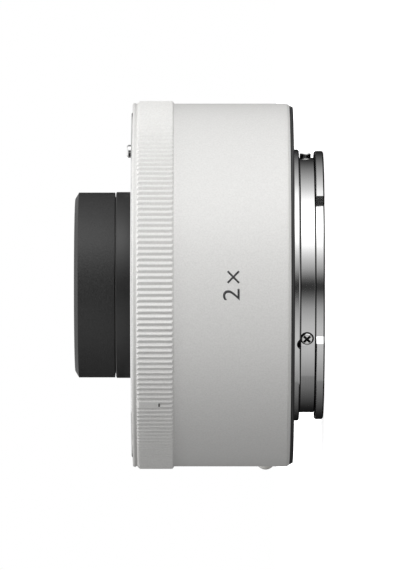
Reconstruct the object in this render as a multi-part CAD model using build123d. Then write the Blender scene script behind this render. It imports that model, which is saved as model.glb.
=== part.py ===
from build123d import *
from math import copysign, cos, pi, sin, sqrt
import os

# A 2x teleconverter for a mirrorless camera, in millimetres.
# Z is the optical axis, upwards towards the mounted lens. Z = 0 is the face that meets the camera.
# Bearings are degrees round the axis from +X. The photograph looks along +Y, with +X at the top.

# The two mounts, which the camera and the lens fix
flange_spacing = 27.25
register_radius = 23.0
lug_inset = 0.25
throat_play = 0.05
tab_reach = 1.3
contact_inset = 4.4
screw_circle_margin = 3.5
contact_bearing = 180
release_bearing = 30
lug_centres = (-16.4, -148.6, 97.6)
lug_spans = (66, 66, 62)

# Clearances shared by all pieces
fit_gap = 0.05
loose_gap = 0.15
seat_gap = 0.02
span_play = 1
overrun = 1.0

# Outer white barrel
barrel_rim_width = 1.57
barrel_wall = 1.32
barrel_chamfer_height = 0.4
barrel_chamfer_depth = 0.27
barrel_groove_start = 0.44
barrel_groove_width = 0.1
barrel_groove_depth = 0.08
barrel_lip_height = 0.8
barrel_lip_width = 1.6

# Ribbed grip ring
grip_proud = 0.43
grip_end_depth = 0.99
grip_height = 6.16
grip_rear_chamfer_height = 0.3
grip_rear_chamfer_depth = 0.34
grip_front_chamfer_height = 0.4
grip_front_chamfer_depth = 0.32
rib_count = 200
rib_depth = 0.27
groove_top_share = 0.88
groove_foot_share = 0.12
rib_pad_bearing = -129.8
rib_pad_width = 1.3
rib_pad_height = 3.9

# Grooved trim ring between grip ring and front mount
trim_proud = 0.1
trim_groove_depth = 0.2
trim_height = 0.77
trim_groove_height = 0.33
trim_edge_chamfer = 0.12
trim_lip_height = 0.5
trim_neck_width = 0.6
trim_lip_width = 1.0

# Front mount, which takes the lens
front_disc_margin = 2.8
front_disc_height = 1.8
front_skirt_wall = 1.15
front_edge_chamfer = 0.2
tab_start_depth = 1.15
tab_end_depth = 3.4
tab_span = 48
index_dot_radius = 0.9
index_dot_depth = 0.3
index_dot_bearing = 240
index_dot_inset = 1.9

# Leaf springs behind the tabs
leaf_thickness = 0.2
leaf_width = 0.7
leaf_span = 36

# Rear mount, which goes into the camera
rear_disc_margin = 2.7
rear_disc_height = 1.6
neck_wall = 1.4
register_height = 1.02
neck_inset = 1.4
lug_start_depth = 3.58
lug_height = 1.56
rim_inset = 0.3
lug_chamfer = 0.25
register_chamfer = 0.2
neck_chamfer = 0.12
rim_chamfer = 0.2
lock_recess_depth = 1.15
ramp_span = 1.8
stop_notch_bearing = -50.1
stop_notch_width = 0.78
stop_notch_depth = 0.55
stop_notch_setback = 0.2
stop_notch_mouth_radius = 0.7
stop_notch_mouth_depth = 0.25
register_notch_bearing = -115.6
register_notch_radius = 1.09
register_notch_depth = 1.54
register_notch_floor_inset = 0.05

# Rubber seal round the rear mount
seal_height = 0.6
seal_inset = 0.3
seal_lean = 0.3

# Shim that sets the flange distance
shim_thickness = 0.15
shim_inner_gap = 0.45

# Chassis, the inner frame that joins the mounts
chassis_wall = 1.1
chassis_flange_reach = 2.15
chassis_flange_height = 2.45
web_depth = 9.75
web_height = 2.0
web_bore_gap = 0.5
well_ledge_width = 0.35

# Floor of the well round the snout
cover_height = 0.75
cover_gap = 0.2

# Lens barrel with its snout, and the cap round the front glass
snout_wall = 2.77
snout_shoulder_height = 2.66
snout_edge_chamfer = 0.16
barrel_tail_step = 0.17
barrel_flange_gap = 2.2
barrel_flange_height = 1.4
barrel_flange_gap_span = 74
barrel_screw_inset = 2.1
barrel_screw_bearings = (-75, 0, 75)
spigot_wall = 1.7
spigot_length = 5.59
tail_margin = 0.45
cap_inset = 0.08
cap_height = 6.76
cap_groove = 0.17
cap_chamfer_height = 0.64
cap_chamfer_depth = 1.09
cap_lip_reach = 0.4
cap_bevel_width = 0.7

# Eight elements in five groups, from the front; curves are shares of the rim radius
front_vertex_depth = 0.3
front_rim_radius = 12.2
middle_rim_radius = 11.2
fourth_rim_radius = 12.6
fifth_rim_radius = 13.0
cement_gap = 0.02
element_1_thickness = 3.0
element_2_thickness = 1.1
element_3_thickness = 5.6
element_4_thickness = 1.1
element_5_thickness = 6.6
element_6_thickness = 1.2
element_7_thickness = 3.8
element_8_thickness = 1.6
first_air_gap = 2.0
second_air_gap = 1.0
third_air_gap = 2.0
fourth_air_gap = 1.6
front_group_curve_shares = (3.1, 7.4)
doublet_curve_shares = (-11.5, 2.1, -4.9)
triplet_curve_shares = (-6.2, 2.3, -2.5, 7.1)
fourth_group_curve_shares = (5.6, -4.8)
fifth_group_curve_shares = (-3.1, -4.6)

# Rings that hold the elements
seat_width = 1.2
front_seat_width = 1.8
retaining_ring_height = 1.3

# Light baffle inside the rear mount
baffle_inset = 0.59
baffle_wall = 1.2
baffle_floor_depth = 0.9
baffle_floor_height = 1.0
baffle_flange_height = 0.8
baffle_flange_width = 0.75
window_width = 24.0
window_height = 18.0
window_corner_radius = 2.5
boss_width = 1.2
boss_span = 11

# Radial screws through the neck of the rear mount
radial_screw_bearings = (-114.4, 0, 120)
radial_screw_depth = 2.15
radial_head_radius = 0.95
radial_head_height = 0.85
radial_shank_radius = 0.7
radial_seat_radius = 1.15
radial_seat_depth = 0.1

# Countersunk and flat screws, radii and lengths
mount_screw_bearings = (75, 165, 255, 345)
mount_head_radius = 1.6
mount_shank_radius = 0.85
mount_head_sink = 0.06
rear_screw_length = 3.9
front_screw_length = 6.6
small_head_radius = 1.1
small_head_height = 0.55
small_shank_radius = 0.55
small_screw_length = 1.7
cross_width_share = 0.3
cross_length_share = 1.3
cross_depth_share = 0.5

# Front contact block with its ten sprung pins
pin_count = 10
pin_pitch = 6.4
pin_radius = 0.45
pin_collar_radius = 0.66
pin_stem_radius = 0.34
pin_collar_height = 0.5
pin_stem_length = 1.5
pin_pressed_depth = 4.7
pin_travel = 0.5
pin_tip_round = 0.2
block_half_width = 2.0
block_end_span = 6.4
block_depth = 5.15
block_roof = 0.6
block_base_height = 1.0
block_base_margin = 1.4
block_ear_span = 6
block_screw_margin = 1.6
block_screw_end_span = 10
contact_board_height = 0.6
contact_spring_wall = 0.18

# Rear contact block with its ten flat pads
rear_block_reach = 1.7
pad_width = 1.25
pad_length = 2.4
pad_height = 0.35
pad_proud = 0.1
rear_block_screw_inset = 0.8
rear_block_screw_end_span = 10

# Circuit board, its chip, and the two flexes
board_width = 7.55
board_height = 0.8
board_span = 130
board_screw_end_span = 20
board_screw_inset = 0.3
chip_width = 5.0
chip_height = 0.9
chip_bearing = 212
chip_inset = 3.7
flex_thickness = 0.15
flex_width = 8.0
front_flex_gap = 0.9
front_flex_foot = 2.4
front_flex_head = 5.6
rear_flex_inset = 0.7
rear_flex_foot = 3.6
flex_slot_gap = 0.2

# Lock pin, its clip and its spring
pin_bolt_radius = 1.1
pin_bolt_proud = 1.0
pin_bolt_chamfer = 0.25
bolt_collar_radius = 1.5
bolt_collar_height = 0.85
bolt_stem_radius = 0.6
bolt_stem_tail = 1.1
bolt_floor_height = 0.8
clip_height = 0.4
clip_radius = 1.3
clip_groove_depth = 0.15
clip_mouth_share = 0.7

# Release slider and knob
release_travel = 1.3
leg_thickness = 0.6
leg_gap = 0.45
leg_width = 6.0
leg_tail = 3.0
fork_gap = 0.7
fork_height = 0.8
fork_reach = 2.35
foot_height = 0.6
foot_width = 4.4
leg_window_width = 3.4
knob_drop = 5.5
knob_height = 5.4
knob_span = 17
knob_thickness = 1.4
knob_edge_round = 0.35
knob_groove_count = 3
knob_groove_width = 0.5
knob_groove_depth = 0.35
knob_groove_pitch = 1.2
knob_boss_width = 5.8
knob_boss_height = 2.6
knob_screw_spacing = 3.4
knob_screw_length = 2.2

# Coil springs of the release
coil_radius = 1.2
coil_wire = 0.36
lock_coil_turns = 6
release_coil_turns = 5

# Raised white dot that lines up with the camera
index_radius = 1.25
index_rise = 0.55
index_sink = 0.45
index_height = 4.58

# Places worked out from the sizes above, from the register outwards
throat_radius = register_radius + throat_play
lug_radius = register_radius - lug_inset
tab_radius = throat_radius - tab_reach
contact_circle_radius = register_radius - contact_inset
screw_circle_radius = register_radius + screw_circle_margin
rear_disc_radius = screw_circle_radius + rear_disc_margin
front_disc_radius = screw_circle_radius + front_disc_margin
index_dot_circle_radius = front_disc_radius - index_dot_inset
neck_radius = register_radius - neck_inset
rear_rim_radius = neck_radius - rim_inset
rear_bore_radius = neck_radius - neck_wall
rear_mount_depth = lug_start_depth + lug_height
stop_notch_floor_radius = rear_rim_radius - stop_notch_depth
stop_notch_mouth_circle_radius = (lug_radius + rear_rim_radius) / 2

# The white shell, round the discs of the mounts
barrel_radius = rear_disc_radius + barrel_rim_width
barrel_lip_top = rear_disc_height + barrel_lip_height
barrel_lip_inner_radius = rear_disc_radius - barrel_lip_width
grip_radius = barrel_radius + grip_proud
trim_radius = barrel_radius + trim_proud
trim_groove_radius = trim_radius - trim_groove_depth
seal_radius = barrel_radius - seal_inset
seal_edge_radius = seal_radius - seal_lean
front_face = flange_spacing
front_disc_bottom = front_face - front_disc_height
grip_end = front_face - grip_end_depth
grip_start = grip_end - grip_height
trim_lip_bottom = front_disc_bottom - trim_lip_height
trim_lip_inner_radius = front_disc_radius - trim_lip_width
trim_neck_radius = front_disc_radius + fit_gap + trim_neck_width

# The chassis inside the shell
chassis_radius = barrel_radius - barrel_wall - fit_gap
chassis_inner_radius = chassis_radius - chassis_wall
chassis_bottom = rear_disc_height + shim_thickness
chassis_flange_top = chassis_bottom + chassis_flange_height
chassis_flange_inner_radius = screw_circle_radius - chassis_flange_reach
web_start = front_face - web_depth
web_top = web_start + web_height
well_ledge_inner_radius = throat_radius - well_ledge_width
cover_bottom = web_top + barrel_flange_height
cover_top = cover_bottom + cover_height
skirt_end = cover_top + fit_gap

# The lens barrel, round its widest element
snout_radius = fifth_rim_radius + snout_wall
snout_shoulder = front_face + snout_shoulder_height
barrel_tail_radius = snout_radius - barrel_tail_step
barrel_flange_radius = well_ledge_inner_radius - barrel_flange_gap
barrel_screw_circle_radius = barrel_flange_radius - barrel_screw_inset
spigot_end = snout_shoulder + spigot_length
spigot_radius = snout_radius - spigot_wall / 2
cap_radius = snout_radius - cap_inset
cap_start = snout_shoulder + cap_groove
cap_end = cap_start + cap_height
cap_lip_radius = front_rim_radius - cap_lip_reach
front_vertex = spigot_end - front_vertex_depth
front_seat_radius = front_rim_radius - front_seat_width

# The baffle inside the rear mount, and the shim in front of it
baffle_depth = rear_mount_depth - baffle_inset
baffle_outer_radius = rear_bore_radius - 2 * fit_gap
baffle_inner_radius = baffle_outer_radius - baffle_wall
baffle_floor_top = baffle_floor_height - baffle_floor_depth
baffle_flange_radius = rear_bore_radius + baffle_flange_width
shim_inner_radius = baffle_flange_radius + shim_inner_gap

# Contacts, boards and flexes; the spans follow the row of pins
block_span = pin_pitch * (pin_count - 1) + block_end_span
block_base_span = block_span + block_ear_span
block_screw_span = block_base_span - block_screw_end_span
rear_block_screw_span = block_span - rear_block_screw_end_span
board_screw_span = board_span - board_screw_end_span
pin_tip = front_face - pin_pressed_depth + pin_travel
block_inner_radius = contact_circle_radius - block_half_width
block_outer_radius = contact_circle_radius + block_half_width
block_screw_circle_radius = block_outer_radius + block_screw_margin
block_base_outer_radius = block_screw_circle_radius + block_base_margin
block_top = front_face - block_depth
pin_collar_top = block_top - block_roof - fit_gap
pin_collar_bottom = pin_collar_top - pin_collar_height
chamber_radius = pin_collar_radius + 2 * fit_gap
block_base_bottom = web_start - block_base_height
contact_board_bottom = block_base_bottom - contact_board_height
rear_block_inner_radius = contact_circle_radius - rear_block_reach
rear_block_outer_radius = rear_bore_radius - loose_gap
rear_block_screw_circle_radius = rear_block_inner_radius + rear_block_screw_inset
board_bottom = chassis_flange_top
board_top = board_bottom + board_height
board_outer_radius = chassis_inner_radius - loose_gap
board_inner_radius = board_outer_radius - board_width
board_screw_circle_radius = screw_circle_radius - board_screw_inset
chip_circle_radius = board_inner_radius + chip_inset
front_flex_radius = block_base_outer_radius + front_flex_gap
rear_flex_radius = rear_bore_radius - rear_flex_inset

# The lens release, between flange and web of the chassis
leg_radius = chassis_inner_radius - leg_gap - leg_thickness
leg_outer_radius = leg_radius + leg_thickness
knob_centre = web_start - knob_drop
leg_bottom = knob_centre - leg_tail
fork_top = web_start - fork_gap
fork_bottom = fork_top - fork_height
clip_top = fork_bottom - seat_gap
clip_bottom = clip_top - clip_height
bolt_tip = front_face + pin_bolt_proud
bolt_collar_top = front_disc_bottom - fit_gap
bolt_collar_bottom = bolt_collar_top - bolt_collar_height
bolt_chamber_floor = web_start + bolt_floor_height
bolt_stem_end = fork_bottom - bolt_stem_tail


# Shapes that many pieces share


def turned(outline):
    """A solid turned about the optical axis from (radius, height) points."""
    face = make_face(Polyline(*outline, close=True))
    return revolve(Plane.XZ * face, axis=Axis.Z)


def ring(inner, outer, low, high):
    return turned([(inner, low), (outer, low), (outer, high), (inner, high)])


def sector(inner, outer, low, high, centre, span):
    """Part of a ring, span degrees wide about the bearing centre."""
    corners = [(inner, low), (outer, low), (outer, high), (inner, high)]
    face = make_face(Polyline(*corners, close=True))
    swept = revolve(Plane.XZ * face, axis=Axis.Z, revolution_arc=span)
    return Rot(0, 0, centre - span / 2) * swept


def polar(radius, bearing):
    angle = bearing * pi / 180
    return (radius * cos(angle), radius * sin(angle))


def rod(radius, low, high):
    """A round bar along Z between two heights."""
    stands = (Align.CENTER, Align.CENTER, Align.MIN)
    return Pos(0, 0, low) * Cylinder(radius, high - low, align=stands)


def block(near, far, width, low, high):
    """A box from near to far along X, centred in Y, between two heights."""
    stands = (Align.MIN, Align.CENTER, Align.MIN)
    return Pos(near, 0, low) * Box(far - near, width, high - low, align=stands)


def on_bearing(shape, bearing, radius=0):
    """Move a shape out along X, then turn it to its bearing."""
    return Rot(0, 0, bearing) * Pos(radius, 0, 0) * shape


def outwards(shape, bearing, radius, height):
    """Lay a shape that was made along Z on its side, pointing away from the axis."""
    return Rot(0, 0, bearing) * Pos(radius, 0, height) * Rot(0, 90, 0) * shape


def save(shape, name):
    export_step(shape, f"parts/{name}.step")


def save_group(shapes, name):
    solids = [solid for shape in shapes for solid in shape.solids()]
    save(Compound(children=solids), name)


# Screws: each is made along Z with the underside of its head at zero and its shank below


def cross_recess(head_radius, top):
    """Two crossed bars that cut the driver recess of a head."""
    length = head_radius * cross_length_share
    width = head_radius * cross_width_share
    depth = head_radius * cross_depth_share
    low = (Align.CENTER, Align.CENTER, Align.MIN)
    bar = Box(length, width, depth + overrun, align=low)
    return Pos(0, 0, top - depth) * (bar + Rot(0, 0, 90) * bar)


def pan_screw(head_radius, head_height, shank_radius, length):
    screw = rod(head_radius, 0, head_height) + rod(shank_radius, -length, 0)
    return screw - cross_recess(head_radius, head_height)


def countersunk_head(head_radius, shank_radius):
    """The cone of a countersunk head, its flat top at zero, for screws and for their seats."""
    slope = head_radius - shank_radius
    return turned([(0, 0), (head_radius, 0), (shank_radius, -slope), (0, -slope)])


def countersunk_screw(length):
    shank = rod(mount_shank_radius, -length, -(mount_head_radius - mount_shank_radius))
    screw = countersunk_head(mount_head_radius, mount_shank_radius) + shank
    return screw - cross_recess(mount_head_radius, 0)


def countersunk_hole(length):
    """The seat that a countersunk screw of that length needs, a fit larger all round."""
    head = countersunk_head(mount_head_radius + seat_gap, mount_shank_radius + seat_gap)
    mouth = rod(mount_head_radius + seat_gap, 0, overrun)
    shank = rod(mount_shank_radius + seat_gap, -length - loose_gap, 0)
    return head + mouth + shank


# Lens elements


def surface_height(vertex, curve, radius):
    """Height of a lens surface at a radius. A positive curve has its centre behind the surface."""
    return vertex - curve + copysign(sqrt(curve**2 - radius**2), curve)


def surface_arc(vertex, curve, rim):
    """The half section of a lens surface, from the axis to its rim."""
    points = [(radius, surface_height(vertex, curve, radius)) for radius in (0, rim / 2, rim)]
    return ThreePointArc(*points)


def element(front, thickness, rim, front_curve, rear_curve):
    """One glass element, turned from its two surfaces and its ground rim."""
    top = surface_arc(front, front_curve, rim)
    bottom = surface_arc(front - thickness, rear_curve, rim)
    sides = [Line(top @ 1, bottom @ 1), Line(bottom @ 0, top @ 0)]
    return revolve(Plane.XZ * make_face([top, bottom, *sides]), axis=Axis.Z)


def resting_height(vertex, curve, inner, outer, side):
    """Where a flat ring between two radii meets a surface, from the rear (min) or the front (max)."""
    return side(surface_height(vertex, curve, inner), surface_height(vertex, curve, outer))


# Curves in millimetres, front to rear, from the rim radii
curve_1, curve_2 = [front_rim_radius * share for share in front_group_curve_shares]
curve_3, curve_4, curve_5 = [front_rim_radius * share for share in doublet_curve_shares]
curve_6, curve_7, curve_8, curve_9 = [middle_rim_radius * share for share in triplet_curve_shares]
curve_10, curve_11 = [fourth_rim_radius * share for share in fourth_group_curve_shares]
curve_12, curve_13 = [fifth_rim_radius * share for share in fifth_group_curve_shares]

# Front vertices, each from the element before it
vertex_1 = front_vertex
vertex_2 = vertex_1 - element_1_thickness - first_air_gap
vertex_3 = vertex_2 - element_2_thickness - cement_gap
vertex_4 = vertex_3 - element_3_thickness - second_air_gap
vertex_5 = vertex_4 - element_4_thickness - cement_gap
vertex_6 = vertex_5 - element_5_thickness - cement_gap
vertex_7 = vertex_6 - element_6_thickness - third_air_gap
vertex_8 = vertex_7 - element_7_thickness - fourth_air_gap
rear_vertex = vertex_8 - element_8_thickness

# Bores and seats of the lens barrel, which follow the glass
front_bore_radius = front_rim_radius + fit_gap
middle_bore_radius = middle_rim_radius + fit_gap
fourth_bore_radius = fourth_rim_radius + fit_gap
fifth_bore_radius = fifth_rim_radius + fit_gap
front_ring_inner_radius = front_rim_radius - seat_width
fourth_ring_inner_radius = fourth_rim_radius - seat_width
rear_spacer_inner_radius = middle_rim_radius - seat_width
front_ring_bottom = resting_height(vertex_1, curve_1, front_ring_inner_radius, front_rim_radius, max)
front_ring_top = front_ring_bottom + retaining_ring_height
front_spacer_top = resting_height(
    vertex_1 - element_1_thickness, curve_2, front_ring_inner_radius, front_rim_radius, min
)
front_spacer_bottom = resting_height(vertex_2, curve_3, front_ring_inner_radius, front_rim_radius, max)
seat_top = resting_height(vertex_3 - element_3_thickness, curve_5, front_seat_radius, front_rim_radius, min)
seat_bottom = resting_height(vertex_4, curve_6, front_seat_radius, middle_rim_radius, max)
rear_spacer_top = resting_height(
    vertex_6 - element_6_thickness, curve_9, rear_spacer_inner_radius, middle_rim_radius, min
)
rear_spacer_bottom = resting_height(vertex_7, curve_10, rear_spacer_inner_radius, fourth_rim_radius, max)
thin_spacer_top = resting_height(
    vertex_7 - element_7_thickness, curve_11, fourth_ring_inner_radius, fourth_rim_radius, min
)
thin_spacer_bottom = resting_height(vertex_8, curve_12, fourth_ring_inner_radius, fifth_rim_radius, max)
rear_ring_top = resting_height(rear_vertex, curve_13, fourth_ring_inner_radius, fifth_rim_radius, min)
rear_ring_bottom = rear_ring_top - retaining_ring_height
tail_end = rear_ring_bottom - tail_margin


def glass():
    """Each element by name, in the order that light meets them."""
    return {
        "element_1": element(vertex_1, element_1_thickness, front_rim_radius, curve_1, curve_2),
        "element_2": element(vertex_2, element_2_thickness, front_rim_radius, curve_3, curve_4),
        "element_3": element(vertex_3, element_3_thickness, front_rim_radius, curve_4, curve_5),
        "element_4": element(vertex_4, element_4_thickness, middle_rim_radius, curve_6, curve_7),
        "element_5": element(vertex_5, element_5_thickness, middle_rim_radius, curve_7, curve_8),
        "element_6": element(vertex_6, element_6_thickness, middle_rim_radius, curve_8, curve_9),
        "element_7": element(vertex_7, element_7_thickness, fourth_rim_radius, curve_10, curve_11),
        "element_8": element(vertex_8, element_8_thickness, fifth_rim_radius, curve_12, curve_13),
    }


def glass_rings():
    """Spacers between the groups and the two threaded rings that hold the stack."""
    front_outer = front_rim_radius
    rear_outer = fifth_rim_radius
    return {
        "front_retaining_ring": ring(
            front_ring_inner_radius, front_outer, front_ring_bottom, front_ring_top
        ),
        "front_spacer": ring(
            front_ring_inner_radius, front_outer, front_spacer_bottom, front_spacer_top
        ),
        "rear_spacer": ring(
            rear_spacer_inner_radius, fourth_rim_radius, rear_spacer_bottom, rear_spacer_top
        ),
        "thin_spacer": ring(
            fourth_ring_inner_radius, fourth_rim_radius, thin_spacer_bottom, thin_spacer_top
        ),
        "rear_retaining_ring": ring(
            fourth_ring_inner_radius, rear_outer, rear_ring_bottom, rear_ring_top
        ),
    }


def lens_barrel():
    """Black tube that holds the glass; its front is the snout, its flange sits on the chassis web."""
    flange_top = web_top + barrel_flange_height
    fourth_bore_top = rear_spacer_top + fit_gap
    fifth_bore_top = resting_height(vertex_8, curve_12, 0, fifth_rim_radius, max) + fit_gap
    tube = turned(
        [
            (fifth_bore_radius, tail_end),
            (barrel_tail_radius, tail_end),
            (barrel_tail_radius, web_top),
            (barrel_flange_radius, web_top),
            (barrel_flange_radius, flange_top),
            (snout_radius, flange_top),
            (snout_radius, snout_shoulder - snout_edge_chamfer),
            (snout_radius - snout_edge_chamfer, snout_shoulder),
            (spigot_radius, snout_shoulder),
            (spigot_radius, spigot_end),
            (front_bore_radius, spigot_end),
            (front_bore_radius, seat_top),
            (front_seat_radius, seat_top),
            (front_seat_radius, seat_bottom),
            (middle_bore_radius, seat_bottom),
            (middle_bore_radius, fourth_bore_top),
            (fourth_bore_radius, fourth_bore_top),
            (fourth_bore_radius, fifth_bore_top),
            (fifth_bore_radius, fifth_bore_top),
        ]
    )
    gap_low = web_top - overrun
    gap_high = flange_top + overrun
    tube -= sector(
        snout_radius,
        barrel_flange_radius + overrun,
        web_top,
        flange_top,
        contact_bearing,
        barrel_flange_gap_span,
    )
    for bearing in barrel_screw_bearings:
        hole = rod(small_shank_radius + seat_gap, gap_low, gap_high)
        sink = rod(small_head_radius + fit_gap, flange_top - small_head_height - fit_gap, gap_high)
        tube -= on_bearing(hole + sink, bearing, barrel_screw_circle_radius)
    return tube


def lens_barrel_screws():
    """Three flat screws, their heads sunk in the flange under the well cover."""
    seat = web_top + barrel_flange_height - small_head_height - fit_gap
    screw = pan_screw(small_head_radius, small_head_height, small_shank_radius, small_screw_length)
    placed = Pos(0, 0, seat) * screw
    return [on_bearing(placed, bearing, barrel_screw_circle_radius) for bearing in barrel_screw_bearings]


def snout_cap():
    """Thick ring screwed over the snout's spigot; its lip keeps stray light off the front glass."""
    bore = spigot_radius + fit_gap
    return turned(
        [
            (bore, cap_start),
            (cap_radius, cap_start),
            (cap_radius, cap_end - cap_chamfer_height),
            (cap_radius - cap_chamfer_depth, cap_end),
            (cap_lip_radius + cap_bevel_width, cap_end),
            (cap_lip_radius, spigot_end + seat_gap),
            (bore, spigot_end + seat_gap),
        ]
    )


# White outer shell


def knob_slot(extra):
    """Opening for the knob's boss, long enough for its travel."""
    low = knob_centre - knob_boss_height / 2 - release_travel - extra
    high = knob_centre + knob_boss_height / 2 + extra
    slot = block(leg_outer_radius, barrel_radius + overrun, knob_boss_width + 2 * extra, low, high)
    return on_bearing(slot, release_bearing)


def main_barrel():
    """White painted tube with a hairline groove at its rear edge, clamped by its rear lip."""
    bore = barrel_radius - barrel_wall
    disc_bore = rear_disc_radius + fit_gap
    groove_radius = barrel_radius - barrel_groove_depth
    groove_low = seal_height + barrel_groove_start
    groove_high = groove_low + barrel_groove_width
    tube = turned(
        [
            (disc_bore, seal_height),
            (barrel_radius - barrel_chamfer_depth, seal_height),
            (barrel_radius, seal_height + barrel_chamfer_height),
            (barrel_radius, groove_low),
            (groove_radius, groove_low),
            (groove_radius, groove_high),
            (barrel_radius, groove_high),
            (barrel_radius, grip_start),
            (bore, grip_start),
            (bore, barrel_lip_top),
            (barrel_lip_inner_radius, barrel_lip_top),
            (barrel_lip_inner_radius, rear_disc_height),
            (disc_bore, rear_disc_height),
        ]
    )
    pocket = rod(index_radius + seat_gap, barrel_radius - index_sink, barrel_radius + overrun)
    tube -= outwards(pocket, contact_bearing, 0, index_height)
    return tube - knob_slot(loose_gap)


def mount_index():
    """Raised white dot, pressed into a round pocket at the rear of the barrel."""
    foot = barrel_radius - index_sink + seat_gap
    skin = surface_height(barrel_radius, barrel_radius, index_radius)
    top = barrel_radius + index_rise
    side = [(0, foot), (index_radius, foot), (index_radius, skin)]
    rise = top - skin
    dome_radius = (index_radius**2 + rise**2) / (2 * rise)
    dome = surface_arc(top, dome_radius, index_radius)
    edges = [Line(side[0], side[1]), Line(side[1], side[2]), dome, Line(side[0], dome @ 0)]
    dot = revolve(Plane.XZ * make_face(edges), axis=Axis.Z)
    return outwards(dot, contact_bearing, 0, index_height)


def rib_outline():
    """Points round the grip ring, four to each rib: two on its crest and two in the groove beside it."""
    pitch = 360 / rib_count
    foot = grip_radius - rib_depth
    corners = [
        (grip_radius, groove_top_share / 2),
        (grip_radius, 1 - groove_top_share / 2),
        (foot, 1 - groove_foot_share / 2),
        (foot, 1 + groove_foot_share / 2),
    ]
    return [polar(radius, (rib + share) * pitch) for rib in range(rib_count) for radius, share in corners]


def grip_ring():
    """White ring with fine ribs all round, held between the barrel and the trim ring."""
    bore = chassis_radius + fit_gap
    recess = trim_neck_radius + fit_gap
    ribs = make_face(Polyline(*rib_outline(), close=True))
    ribbed = Pos(0, 0, grip_start) * extrude(ribs, grip_height)
    envelope = turned(
        [
            (bore, grip_start),
            (grip_radius - grip_rear_chamfer_depth, grip_start),
            (grip_radius, grip_start + grip_rear_chamfer_height),
            (grip_radius, grip_end - grip_front_chamfer_height),
            (grip_radius - grip_front_chamfer_depth, grip_end),
            (recess, grip_end),
            (recess, trim_lip_bottom),
            (bore, trim_lip_bottom),
        ]
    )
    pad_span = rib_pad_width / grip_radius * 180 / pi
    pad_inner = grip_radius - 2 * rib_depth
    pad_low = grip_end - rib_pad_height
    pad = sector(pad_inner, grip_radius, pad_low, grip_end, rib_pad_bearing, pad_span)
    return (ribbed + pad) & envelope


def trim_ring():
    """White ring with a shallow groove round it; its lip is clamped under the front mount."""
    bore = front_disc_radius + fit_gap
    top = grip_end + trim_height
    groove_top = grip_end + trim_groove_height
    return turned(
        [
            (trim_lip_inner_radius + fit_gap, trim_lip_bottom),
            (trim_neck_radius, trim_lip_bottom),
            (trim_neck_radius, grip_end),
            (trim_groove_radius, grip_end),
            (trim_groove_radius, groove_top),
            (trim_radius, groove_top),
            (trim_radius, top - trim_edge_chamfer),
            (trim_radius - trim_edge_chamfer, top),
            (bore, top),
            (bore, front_disc_bottom),
            (trim_lip_inner_radius + fit_gap, front_disc_bottom),
        ]
    )


# Mounts


def bayonet_tab(centre):
    tab_low = front_face - tab_end_depth
    tab_high = front_face - tab_start_depth
    leaf_mid = (tab_radius + throat_radius) / 2
    tab = sector(tab_radius, throat_radius + seat_gap, tab_low, tab_high, centre, tab_span)
    inner = leaf_mid - leaf_width / 2 - fit_gap
    pocket_top = tab_low + leaf_thickness / 2
    seat = sector(inner, throat_radius, tab_low, pocket_top, centre, leaf_span + span_play)
    return tab - seat


def front_mount():
    """Chrome ring that takes the lens: flange face, throat, three tabs and a skirt into the well."""
    skirt_radius = throat_radius + front_skirt_wall
    edge = front_edge_chamfer
    mount = turned(
        [
            (throat_radius, skirt_end),
            (skirt_radius, skirt_end),
            (skirt_radius, front_disc_bottom),
            (front_disc_radius, front_disc_bottom),
            (front_disc_radius, front_face - edge),
            (front_disc_radius - edge, front_face),
            (throat_radius + edge, front_face),
            (throat_radius, front_face - edge),
        ]
    )
    for centre in lug_centres:
        mount += bayonet_tab(centre)
    hole = Pos(0, 0, front_face - mount_head_sink) * countersunk_hole(front_screw_length)
    for bearing in mount_screw_bearings:
        mount -= on_bearing(hole, bearing, screw_circle_radius)
    bolt_hole = rod(pin_bolt_radius + fit_gap, front_disc_bottom - overrun, front_face + overrun)
    mount -= on_bearing(bolt_hole, release_bearing, screw_circle_radius)
    dot = rod(index_dot_radius + seat_gap, front_face - index_dot_depth, front_face + overrun)
    return mount - on_bearing(dot, index_dot_bearing, index_dot_circle_radius)


def front_index_dot():
    """White enamel in a shallow pocket of the front mount, where the lens is lined up."""
    dot = rod(index_dot_radius, front_face - index_dot_depth, front_face - seat_gap)
    return on_bearing(dot, index_dot_bearing, index_dot_circle_radius)


def mount_leaf_springs():
    """Three thin arcs behind the tabs, which pull the lens against the flange."""
    tab_low = front_face - tab_end_depth
    middle = (tab_radius + throat_radius) / 2
    top = tab_low + leaf_thickness / 2
    bottom = top - leaf_thickness
    inner = middle - leaf_width / 2
    outer = middle + leaf_width / 2
    return [sector(inner, outer, bottom, top, centre, leaf_span) for centre in lug_centres]


def mount_screws(length, height, turned_over):
    """Four countersunk screws of one of the mounts, their heads just under its face."""
    screw = countersunk_screw(length)
    if turned_over:
        screw = Rot(180, 0, 0) * screw
    placed = Pos(0, 0, height) * screw
    return [on_bearing(placed, bearing, screw_circle_radius) for bearing in mount_screw_bearings]


def rear_lug(centre, span):
    """One bayonet lug: its two outer edges have small chamfers, and a steep ramp leads on to it."""
    low = -rear_mount_depth
    high = -lug_start_depth
    envelope = turned(
        [
            (rear_bore_radius, low),
            (lug_radius - lug_chamfer, low),
            (lug_radius, low + lug_chamfer),
            (lug_radius, high - lug_chamfer),
            (lug_radius - lug_chamfer, high),
            (rear_bore_radius, high),
        ]
    )
    lug = sector(rear_bore_radius, lug_radius, low, high, span / 2, span)
    foot = (rear_bore_radius + rear_rim_radius) / 2
    ends = [(lug_radius, span), (rear_rim_radius, span + ramp_span), (foot, span + ramp_span), (foot, span)]
    slope = make_face(Polyline(*[polar(*end) for end in ends], close=True))
    ramp = Pos(0, 0, low) * extrude(slope, high - low, dir=(0, 0, 1))
    return Rot(0, 0, centre - span / 2) * ((lug + ramp) & envelope)


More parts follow.
